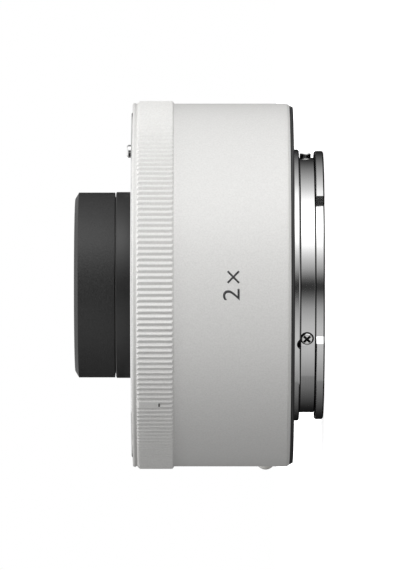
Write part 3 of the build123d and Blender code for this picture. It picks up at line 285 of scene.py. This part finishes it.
white_mark = new_finish("white_mark", (0.86, 0.85, 0.8), 0.16)
shader_of(white_mark).inputs["Coat Weight"].default_value = 0.6
shader_of(white_mark).inputs["Coat Roughness"].default_value = 0.06
mark_tone = speckle(white_mark, 0.6 * mm)
vary_colour(white_mark, mark_tone, (0.84, 0.83, 0.78), (0.88, 0.87, 0.83))
raise_grain(white_mark, mark_tone, 0.004 * mm)
dress(white_mark, "front_index_dot")

# Lock pin and release.
# A hardened steel pin stands out of the front mount on a coil spring. The white knob on the barrel
# pulls its slider, which takes the pin back.
dress(chrome_plate, "lock_pin")
dress(screw_steel, "release_slider", "release_screws")
dress(spring_steel, "lock_pin_clip", "lock_pin_spring", "release_spring")

# Main barrel, grip ring and release knob.
# Aluminium with a satin off-white paint that holds a very fine speckle. The grip ring has fine
# ribs cut across it.
white_paint = new_finish("white_paint", (0.84, 0.835, 0.82), 0.42)
paint_speckle = speckle(white_paint, 0.26 * mm, 5.0)
vary_colour(white_paint, paint_speckle, (0.79, 0.785, 0.77), (0.87, 0.865, 0.85))
vary_roughness(white_paint, paint_speckle, 0.36, 0.5)
raise_grain(white_paint, paint_speckle, 0.02 * mm)
dress(white_paint, "main_barrel", "grip_ring", "release_knob")

# Trim ring.
# A turned aluminium ring in the same paint, clamped under the front mount. A shallow groove runs
# round it, and its lip is rounded over towards the front.


def select_where(piece, rule):
    bpy.ops.object.mode_set(mode="EDIT")
    bpy.ops.mesh.select_mode(type="VERT")
    bpy.ops.mesh.select_all(action="DESELECT")
    shape = bmesh.from_edit_mesh(piece.data)
    for vertex in shape.verts:
        vertex.select = rule(vertex.co)
    shape.select_flush(True)
    bmesh.update_edit_mesh(piece.data)


def extrude(*way):
    bpy.ops.mesh.extrude_region_move(TRANSFORM_OT_translate={"value": way})


trim_low, trim_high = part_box("trim_ring")
trim_bore = 29.35 * mm
trim_neck = 29.95 * mm
trim_lip_reach = 1.0 * mm
trim_lip_top = trim_low.z + 0.5 * mm
trim_round = 0.4 * mm
trim_round_stretch = 2.6
trim_steps = 240
hair = 0.001 * mm
groove_low = trim_high.z - 0.77 * mm
groove_high = trim_high.z - 0.44 * mm
groove_floor = trim_high.x - 0.13 * mm
bpy.ops.object.select_all(action="DESELECT")
bpy.ops.mesh.primitive_plane_add(size=1, rotation=(math.pi / 2, 0, 0))
trim = bpy.context.object
trim.name = "trim_ring_painted"
trim.scale = (trim_neck - trim_bore, trim_high.z - trim_low.z, 1)
trim.location = ((trim_neck + trim_bore) / 2, 0, (trim_high.z + trim_low.z) / 2)
bpy.ops.object.transform_apply()
bpy.ops.object.mode_set(mode="EDIT")
for level in (trim_lip_top, groove_low, groove_high):
    bpy.ops.mesh.select_all(action="SELECT")
    bpy.ops.mesh.bisect(plane_co=(0, 0, level), plane_no=(0, 0, 1))
bpy.ops.object.mode_set(mode="OBJECT")
select_where(trim, lambda place: place.x < trim_bore + hair and place.z < trim_lip_top + hair)
extrude(-trim_lip_reach, 0, 0)
select_where(trim, lambda place: place.x > trim_neck - hair and place.z > groove_low - hair)
extrude(groove_floor - trim_neck, 0, 0)
select_where(trim, lambda place: place.x > groove_floor - hair and place.z > groove_high - hair)
extrude(trim_high.x - groove_floor, 0, 0)
select_where(trim, lambda place: place.x > trim_high.x - hair and place.z > trim_high.z - hair)
bpy.ops.mesh.bevel(offset=trim_round, segments=8, profile=0.5, affect="VERTICES")
select_where(trim, lambda place: place.x > groove_floor + hair and place.z > groove_high + hair)
bpy.ops.transform.resize(value=(trim_round_stretch, 1, 1), center_override=(trim_high.x, 0, 0))
bpy.ops.mesh.select_all(action="SELECT")
bpy.ops.mesh.remove_doubles(threshold=hair)
bpy.ops.mesh.dissolve_faces()
bpy.ops.mesh.delete(type="ONLY_FACE")
bpy.ops.mesh.select_all(action="SELECT")
bpy.ops.mesh.spin(steps=trim_steps, angle=2 * math.pi, center=(0, 0, 0), axis=(0, 0, 1))
bpy.ops.mesh.select_all(action="SELECT")
bpy.ops.mesh.remove_doubles(threshold=hair)
bpy.ops.mesh.normals_make_consistent(inside=False)
bpy.ops.object.mode_set(mode="OBJECT")
bpy.ops.object.shade_smooth_by_angle(angle=math.radians(30))
trim.data.materials.clear()
trim.data.materials.append(white_paint)
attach(trim, "base")
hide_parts("trim_ring")

# Printed marks.
# A plain 2 and a small multiplication cross are printed in dark grey ink on the barrel, and a short
# tick at the end of the grip ring's smooth pad.
printing_ink = new_finish("printing_ink", (0.045, 0.045, 0.047), 0.4)
ink_film = speckle(printing_ink, 0.12 * mm, 3.0)
vary_colour(printing_ink, ink_film, (0.038, 0.038, 0.04), (0.056, 0.056, 0.058))
raise_grain(printing_ink, ink_film, 0.003 * mm)
ink_thickness = 0.02 * mm
mark_strips = 12
barrel_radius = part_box("main_barrel")[1].x
grip_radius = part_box("grip_ring")[1].x


def wrap_round(mark, radius, turn, height):
    # Flat on the ground, across is X and up is Y; on the barrel they run round it and along it.
    for vertex in mark.data.vertices:
        across, up, rise = vertex.co
        angle = math.radians(turn - 90) + across / radius
        out = radius + rise
        vertex.co = (out * math.cos(angle), out * math.sin(angle), height + up)


def print_mark(name, width, tall, radius, turn, height):
    """Sizes a flat mark, cuts it into strips and lays it on the round wall as a film of ink."""
    mark = bpy.context.object
    mark.name = name
    for axis, size in enumerate((width, tall)):
        start = min(corner[axis] for corner in mark.bound_box)
        end = max(corner[axis] for corner in mark.bound_box)
        for vertex in mark.data.vertices:
            vertex.co[axis] = ((vertex.co[axis] - start) / (end - start) - 0.5) * size
            vertex.co.z = 0
    bpy.ops.object.mode_set(mode="EDIT")
    for strip in range(1, mark_strips):
        cut_place = ((strip / mark_strips - 0.5) * width, 0, 0)
        bpy.ops.mesh.select_all(action="SELECT")
        bpy.ops.mesh.bisect(plane_co=cut_place, plane_no=(1, 0, 0))
    bpy.ops.mesh.select_all(action="SELECT")
    bpy.ops.mesh.remove_doubles(threshold=hair)
    bpy.ops.mesh.normals_make_consistent(inside=False)
    extrude(0, 0, ink_thickness)
    bpy.ops.mesh.select_all(action="SELECT")
    bpy.ops.mesh.normals_make_consistent(inside=False)
    bpy.ops.object.mode_set(mode="OBJECT")
    wrap_round(mark, radius, turn, height)
    mark.data.materials.clear()
    mark.data.materials.append(printing_ink)
    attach(mark, "base")


# How much thinner the strokes are drawn, then the width, height, turn in degrees and place along
# the axis, in millimetres.
for name, letter, thinner, width, tall, turn, height in (
    ("numeral_two", "2", 0.003, 1.9, 2.75, -2.97, 10.53),
    ("multiplication_cross", "\u00d7", 0.013, 2.15, 2.1, 2.45, 10.2),
):
    bpy.ops.object.select_all(action="DESELECT")
    bpy.ops.object.text_add()
    bpy.context.object.data.body = letter
    bpy.context.object.data.offset = -thinner
    bpy.ops.object.convert(target="MESH")
    print_mark(name, width * mm, tall * mm, barrel_radius, turn, height * mm)

tick_length = 0.75 * mm
tick_width = 0.26 * mm
tick_turn = -39.8
tick_height = 22.5 * mm
bpy.ops.object.select_all(action="DESELECT")
bpy.ops.mesh.primitive_plane_add(size=mm)
bpy.ops.object.mode_set(mode="EDIT")
bpy.ops.mesh.bevel(offset=0.2 * mm, segments=3, affect="VERTICES")
bpy.ops.object.mode_set(mode="OBJECT")
print_mark("pad_tick", tick_length, tick_width, grip_radius, tick_turn, tick_height)

# Mount index.
# A raised dot of glossy white plastic near the rear edge of the barrel, to line it up on a camera.
dress(white_mark, "mount_index")

# Rear contact block and baffle.
# The baffle is a matt black moulding with an oblong window, and the block beside it holds ten flat
# gold-plated pads.
dress(black_plastic, "rear_baffle", "rear_contact_block")
dress(gold_contact, "rear_contact_pads")

# Rear mount.
# The chrome-plated brass bayonet that goes into the camera, screwed to the chassis from behind. Its
# plate is darkened with painted shade at the foot of the register and lugs, in the seats and the
# notch.
neck_seat = 21.5 * mm
screw_depth = 2.15 * mm
screw_bearings = (-114.4, 0, 120)
seat_shade_reach = 1.17 * mm
# Middle and half width of each line of painted shade round the mount, along the axis.
painted_shade_lines = ((-1.08 * mm, 0.12 * mm), (-3.6 * mm, 0.12 * mm), (-5.0 * mm, 0.1 * mm))
notch_bearing = -115.6
notch_middle = 22.2 * mm
notch_depth = 1.54 * mm
notch_reach = 1.3 * mm
notch_foot = -1.01 * mm
register_skin = 22.98 * mm
mount_chrome = chrome_plate.copy()
mount_chrome.name = "mount_chrome"


def on_mount(radius, bearing, height):
    turn = math.radians(bearing)
    return (radius * math.cos(turn), radius * math.sin(turn), height)


def compare(finish, operation, value, *limits):
    """A mask that is 1 where the value is within its limits."""
    mask = add_node(finish, "Math", operation=operation)
    wire(finish, value, mask, 0)
    for socket, limit in enumerate(limits, 1):
        mask.inputs[socket].default_value = limit
    return mask.outputs[0]


def near_point(finish, centre, reach):
    away = add_node(finish, "VectorMath", operation="DISTANCE")
    away.inputs[1].default_value = centre
    wire(finish, place_on_part(finish), away, 0)
    return compare(finish, "LESS_THAN", away.outputs["Value"], reach)


def join_masks(finish, operation, masks):
    joined = masks[0]
    for mask in masks[1:]:
        both = add_node(finish, "Math", operation=operation)
        wire(finish, joined, both, 0)
        wire(finish, mask, both, 1)
        joined = both.outputs[0]
    return joined


def tint_where(finish, mask, colour, tint):
    """The colour, and the plain tint where the mask is 1."""
    colour_socket, tint_socket, result_socket = 6, 7, 2
    mix = add_node(finish, "Mix", data_type="RGBA")
    wire(finish, mask, mix, 0)
    wire(finish, colour, mix, colour_socket)
    mix.inputs[tint_socket].default_value = (tint, tint, tint, 1)
    return mix.outputs[result_socket]


mount_parts = add_node(mount_chrome, "SeparateXYZ")
wire(mount_chrome, place_on_part(mount_chrome), mount_parts, 0)
along_mount = mount_parts.outputs["Z"]
mount_flat = add_node(mount_chrome, "Mapping", Scale=(1, 1, 0))
wire(mount_chrome, place_on_part(mount_chrome), mount_flat, "Vector")
mount_radius = add_node(mount_chrome, "VectorMath", operation="LENGTH")
wire(mount_chrome, mount_flat.outputs[0], mount_radius, 0)

painted_shade_places = []
# Painted shade in lines round the mount, at the feet of the register and lugs.
for middle, half_width in painted_shade_lines:
    painted_shade_places.append(compare(mount_chrome, "COMPARE", along_mount, middle, half_width))
# Painted shade in each screw seat.
for bearing in screw_bearings:
    seat = on_mount(neck_seat, bearing, -screw_depth)
    painted_shade_places.append(near_point(mount_chrome, seat, seat_shade_reach))
# Painted shade in the notch, only where it cuts the register.
notch = on_mount(notch_middle, notch_bearing, -notch_depth)
notch_painted_shade_masks = [
    near_point(mount_chrome, notch, notch_reach),
    compare(mount_chrome, "GREATER_THAN", along_mount, notch_foot),
    compare(mount_chrome, "LESS_THAN", mount_radius.outputs["Value"], register_skin),
]
painted_shade_places.append(join_masks(mount_chrome, "MULTIPLY", notch_painted_shade_masks))
all_painted_shade = join_masks(mount_chrome, "MAXIMUM", painted_shade_places)
# The plate turns near black, as painted shade, wherever any of these masks is 1.
mount_shader = shader_of(mount_chrome)
bright_plate = mount_shader.inputs["Base Color"].links[0].from_socket
plate_with_painted_shade = tint_where(mount_chrome, all_painted_shade, bright_plate, 0.015)
wire(mount_chrome, plate_with_painted_shade, mount_shader, "Base Color")
dress(mount_chrome, "rear_mount")

# Radial screws.
# Three bright-plated steel screws with round-edged heads and a cross recess filled with painted
# shade. They go through the neck of the rear mount into the light baffle.
bright_screw = new_finish("bright_screw", (0.86, 0.86, 0.85), 0.14, 1.0)
turned_head = speckle(bright_screw, 0.2 * mm)
vary_colour(bright_screw, turned_head, (0.8, 0.8, 0.79), (0.9, 0.9, 0.89))
vary_roughness(bright_screw, turned_head, 0.1, 0.2)
# Painted shade: a near-black colour given to the faces inside the cross recess.
recess_painted_shade = new_finish("recess_painted_shade", (0.012, 0.012, 0.012), 0.6)
recess_shade_speckle = speckle(recess_painted_shade, 0.08 * mm)
vary_colour(recess_painted_shade, recess_shade_speckle, (0.008, 0.008, 0.008), (0.02, 0.02, 0.02))
raise_grain(recess_painted_shade, recess_shade_speckle, 0.004 * mm)

head_radius = 0.95 * mm
head_height = 0.85 * mm
head_round = 0.17 * mm
head_foot_round = 0.06 * mm
shank_radius = 0.7 * mm
shank_length = 3.2 * mm
shank_tip_round = 0.15 * mm
bpy.ops.object.select_all(action="DESELECT")
bpy.ops.mesh.primitive_cylinder_add(
    vertices=48, radius=head_radius, depth=head_height, location=(0, 0, head_height / 2)
)
bpy.ops.object.transform_apply()
screw = bpy.context.object
select_where(screw, lambda place: place.z > head_height / 2)
bpy.ops.mesh.bevel(offset=head_round, segments=4, profile=0.5)
select_where(screw, lambda place: place.z < head_height / 10)
bpy.ops.mesh.bevel(offset=head_foot_round, segments=2, profile=0.5)
select_where(screw, lambda place: place.z < hair)
bpy.ops.mesh.inset(thickness=head_radius - head_foot_round - shank_radius)
extrude(0, 0, -shank_length)
bpy.ops.mesh.bevel(offset=shank_tip_round, segments=2, profile=0.5)
bpy.ops.object.mode_set(mode="OBJECT")

# The cross that is cut out of the head starts above it and narrows towards its foot.
arm_width = 0.44 * mm
arm_reach = 0.58 * mm
recess_depth = 0.6 * mm
recess_clearance = 0.1 * mm
recess_taper = 0.7
bpy.ops.object.select_all(action="DESELECT")
bpy.ops.mesh.primitive_plane_add(size=arm_width, location=(0, 0, head_height + recess_clearance))
bpy.ops.object.transform_apply()
cross = bpy.context.object
edge = arm_width / 2 - hair
for way in ((1, 0), (-1, 0), (0, 1), (0, -1)):
    side = Vector((*way, 0))
    select_where(
        cross, lambda place: place.dot(side) > edge and max(abs(place.x), abs(place.y)) < 2 * edge
    )
    extrude(*(side * arm_reach))
bpy.ops.mesh.select_all(action="SELECT")
bpy.ops.mesh.remove_doubles(threshold=hair)
bpy.ops.transform.rotate(value=math.radians(45), orient_axis="Z", center_override=(0, 0, 0))
extrude(0, 0, -recess_depth - recess_clearance)
bpy.ops.transform.resize(value=(recess_taper, recess_taper, 1), center_override=(0, 0, 0))
bpy.ops.mesh.select_all(action="SELECT")
bpy.ops.mesh.normals_make_consistent(inside=False)
bpy.ops.object.mode_set(mode="OBJECT")
bpy.ops.object.select_all(action="DESELECT")
screw.select_set(True)
bpy.context.view_layer.objects.active = screw
cut = screw.modifiers.new("cross_cut", "BOOLEAN")
cut.operation = "DIFFERENCE"
cut.solver = "EXACT"
cut.object = cross
bpy.ops.object.modifier_apply(modifier="cross_cut")
bpy.data.objects.remove(cross)
bpy.ops.object.shade_smooth_by_angle(angle=math.radians(30))
screw.data.materials.clear()
screw.data.materials.append(bright_screw)
screw.data.materials.append(recess_painted_shade)
skin = 0.01 * mm
# Faces inside the cross take the painted shade material, and the rest keep the bright plate.
for face in screw.data.polygons:
    middle = face.center
    under_cross = math.hypot(middle.x, middle.y) < arm_width / 2 + arm_reach
    below_top = head_height - recess_depth - skin < middle.z < head_height - skin
    face.material_index = int(under_cross and below_top)

# Only the screw at bearing 0 stands high on the neck; the heads of the other two are lower.
for number, bearing in enumerate(screw_bearings, 1):
    bpy.ops.object.select_all(action="DESELECT")
    screw.select_set(True)
    bpy.context.view_layer.objects.active = screw
    bpy.ops.object.duplicate(linked=False)
    placed = bpy.context.object
    placed.name = f"radial_screw_{number}"
    if bearing:
        select_where(placed, lambda place: place.z > head_height / 4)
        bpy.ops.transform.translate(value=(0, 0, -head_height / 2))
        bpy.ops.object.mode_set(mode="OBJECT")
    placed.rotation_euler = (0, math.pi / 2, math.radians(bearing))
    placed.location = on_mount(neck_seat, bearing, -screw_depth)
    bpy.ops.object.transform_apply()
    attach(placed, "base")
bpy.data.objects.remove(screw)
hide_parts("bayonet_screws")

# Rear seal.
# The dark rubber ring between the barrel and the camera, coloured lighter in a band across its
# middle.
seal_rubber = new_finish("seal_rubber", (0.008, 0.008, 0.008), 0.5)
raise_grain(seal_rubber, speckle(seal_rubber, 0.1 * mm), 0.01 * mm)
seal_low, seal_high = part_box("rear_seal")
seal_parts = add_node(seal_rubber, "SeparateXYZ")
wire(seal_rubber, place_on_part(seal_rubber), seal_parts, 0)
across_seal = add_node(seal_rubber, "MapRange", From_Min=seal_low.z, From_Max=seal_high.z)
wire(seal_rubber, seal_parts.outputs["Z"], across_seal, 0)
seal_tone = add_node(seal_rubber, "ValToRGB")
seal_dark = (0.006, 0.006, 0.006, 1)
middle_band_tone = (0.05, 0.05, 0.05, 1)
for stop in seal_tone.color_ramp.elements:
    stop.color = seal_dark
# Lighter in a band across the middle of the ring, along the axis.
for share, tone in ((0.3, seal_dark), (0.42, middle_band_tone), (0.62, middle_band_tone), (0.74, seal_dark)):
    seal_tone.color_ramp.elements.new(share).color = tone
wire(seal_rubber, across_seal.outputs[0], seal_tone, 0)
wire(seal_rubber, seal_tone.outputs[0], shader_of(seal_rubber), "Base Color")
dress(seal_rubber, "rear_seal")

# Studio.
# A pale floor under the bayonet, a soft lamp from above and one side, an even white room, and a
# tent of soft boxes that only polished surfaces see.


def studio_finish(name):
    finish = bpy.data.materials.new(name)
    finish.use_nodes = True
    finish.node_tree.nodes.clear()
    return finish


def finish_with(finish, shader):
    wire(finish, shader.outputs[0], add_node(finish, "OutputMaterial"), 0)


floor_radius = 0.7
bpy.ops.object.select_all(action="DESELECT")
bpy.ops.mesh.primitive_circle_add(
    vertices=96, radius=floor_radius, fill_type="NGON", location=(0, 0, cad_low.z)
)
floor = bpy.context.object
floor.name = "floor"
floor.data.transform(floor.matrix_world)
floor.location = (0, 0, 0)
# The floor is seen from above only, so it doesn't hide the bayonet from below.
floor_paper = studio_finish("floor_paper")
sheet = add_node(floor_paper, "BsdfDiffuse", Color=(0.85, 0.85, 0.85, 1))
glow = add_node(floor_paper, "Emission", Strength=0.8)
lit_sheet = add_node(floor_paper, "AddShader")
wire(floor_paper, sheet.outputs[0], lit_sheet, 0)
wire(floor_paper, glow.outputs[0], lit_sheet, 1)
clear = add_node(floor_paper, "BsdfTransparent")
sides = add_node(floor_paper, "MixShader")
wire(floor_paper, add_node(floor_paper, "NewGeometry").outputs["Backfacing"], sides, 0)
wire(floor_paper, lit_sheet.outputs[0], sides, 1)
wire(floor_paper, clear.outputs[0], sides, 2)
finish_with(floor_paper, sides)
floor.data.materials.append(floor_paper)
floor.visible_diffuse = False
floor.visible_glossy = False
floor.visible_transmission = False
floor.visible_shadow = False

tent_radius = 1.6
tent_length = 3.0
bpy.ops.object.select_all(action="DESELECT")
bpy.ops.mesh.primitive_cylinder_add(
    vertices=96, radius=tent_radius, depth=tent_length, end_fill_type="NOTHING"
)
tent = bpy.context.object
tent.name = "tent"
tent_cloth = studio_finish("tent_cloth")
around = add_node(tent_cloth, "TexGradient", gradient_type="RADIAL")
wire(tent_cloth, place_on_part(tent_cloth), around, 0)
boxes = add_node(tent_cloth, "ValToRGB")
boxes.color_ramp.interpolation = "B_SPLINE"
brightest = 2.4
# Angle round the axis from the camera, towards the top of the picture, and brightness there.
soft_boxes = [
    (-90, 0.24),
    (-60, 0.6),
    (-40, 0.62),
    (-20, 0.35),
    (-7, 0.04),
    (3, 0.0),
    (14, 0.4),
    (28, 0.75),
    (42, 1.6),
    (56, 2.4),
    (72, 1.7),
    (95, 0.68),
    (126, 0.2),
    (155, 0.0),
    (215, 0.0),
    (245, 0.1),
    (270, 0.24),
]
while len(boxes.color_ramp.elements) < len(soft_boxes):
    boxes.color_ramp.elements.new(0.5)
for stop, (angle, brightness) in zip(boxes.color_ramp.elements, soft_boxes):
    stop.position = angle / 360 + 0.25
    stop.color = (brightness / brightest,) * 3 + (1,)
wire(tent_cloth, around.outputs["Fac"], boxes, 0)
# Above the snout the cloth turns to one pale grey, which the faces that look forwards mirror.
pale_cloth = 0.62
pale_from, all_pale_above = 0.22, 0.55
tent_parts = add_node(tent_cloth, "SeparateXYZ")
wire(tent_cloth, place_on_part(tent_cloth), tent_parts, 0)
above = add_node(tent_cloth, "MapRange", From_Min=pale_from, From_Max=all_pale_above)
wire(tent_cloth, tent_parts.outputs["Z"], above, 0)
cloth_tone = tint_where(tent_cloth, above.outputs[0], boxes.outputs[0], pale_cloth / brightest)
tent_light = add_node(tent_cloth, "Emission", Strength=brightest)
wire(tent_cloth, cloth_tone, tent_light, "Color")
finish_with(tent_cloth, tent_light)
tent.data.materials.append(tent_cloth)

# A dark grey card across the lower end of the tent draws the dark lines on the rear chamfers.
card_grey = studio_finish("card_grey")
finish_with(card_grey, add_node(card_grey, "Emission", Strength=0.38))
bpy.ops.object.select_all(action="DESELECT")
bpy.ops.mesh.primitive_circle_add(
    vertices=96, radius=tent_radius, fill_type="NGON", location=(0, 0, -tent_length / 2)
)
card = bpy.context.object
card.name = "card_below"
card.data.materials.append(card_grey)
for reflector in (tent, card):
    reflector.visible_camera = False
    reflector.visible_diffuse = False
    reflector.visible_transmission = False
    reflector.visible_shadow = False

room = bpy.data.worlds.new("room")
bpy.context.scene.world = room
room.use_nodes = True
room.node_tree.nodes.clear()
path = add_node(room, "LightPath")
white_rays = [
    path.outputs["Is Camera Ray"],
    path.outputs["Is Glossy Ray"],
    path.outputs["Is Transmission Ray"],
]
# The room is a little brighter towards the top of the picture than at its foot.
brighter_way = (0.95, 0, 0.3)
dim_side = 0.29
bright_side = 0.45
upwards = add_node(room, "VectorMath", operation="DOT_PRODUCT")
upwards.inputs[1].default_value = brighter_way
wire(room, add_node(room, "TexCoord").outputs["Generated"], upwards, 0)
even_light = add_node(room, "MapRange", From_Min=-1.0, To_Min=dim_side, To_Max=bright_side)
wire(room, upwards.outputs["Value"], even_light, 0)
strength = add_node(room, "MapRange", To_Max=1.0)
wire(room, even_light.outputs[0], strength, "To Min")
wire(room, join_masks(room, "MAXIMUM", white_rays), strength, 0)
white = add_node(room, "Background", Color=(1, 1, 1, 1))
wire(room, strength.outputs[0], white, "Strength")
wire(room, white.outputs[0], add_node(room, "OutputWorld"), 0)

# The soft lamp and the camera both face the middle of the object.
centre = Vector((0, 0, 15.7 * mm))
lamp_distance = 1.2
lamp_rise = math.radians(8)
lamp_turn = math.radians(45)
lamp_direction = Vector(
    (
        math.cos(lamp_rise) * math.sin(lamp_turn),
        -math.cos(lamp_rise) * math.cos(lamp_turn),
        math.sin(lamp_rise),
    )
)
bpy.ops.object.light_add(type="AREA", location=centre + lamp_distance * lamp_direction)
lamp = bpy.context.object
lamp.name = "soft_lamp"
lamp.rotation_euler = lamp_direction.to_track_quat("Z", "Y").to_euler()
lamp.data.size = 0.9
lamp.data.energy = 8.2
lamp.visible_glossy = False

# A second lamp above the snout lights the faces that look to the left in the picture.
front_lamp_height = 1.3
bpy.ops.object.light_add(type="AREA", location=(0, 0, front_lamp_height))
front_lamp = bpy.context.object
front_lamp.name = "front_lamp"
front_lamp.data.size = 0.8
front_lamp.data.energy = 11.0
front_lamp.visible_glossy = False

# Camera.
# It stands square on to the barrel's side and is rolled so that the snout points to the left.
camera_distance = 1.15
upright = math.radians(90)
bpy.ops.object.camera_add(
    location=centre - Vector((0, camera_distance, 0)), rotation=(upright, upright, 0)
)
camera = bpy.context.object
camera.name = "camera"
camera.data.lens = 428
bpy.context.scene.camera = camera
bpy.context.scene.view_settings.view_transform = "Standard"
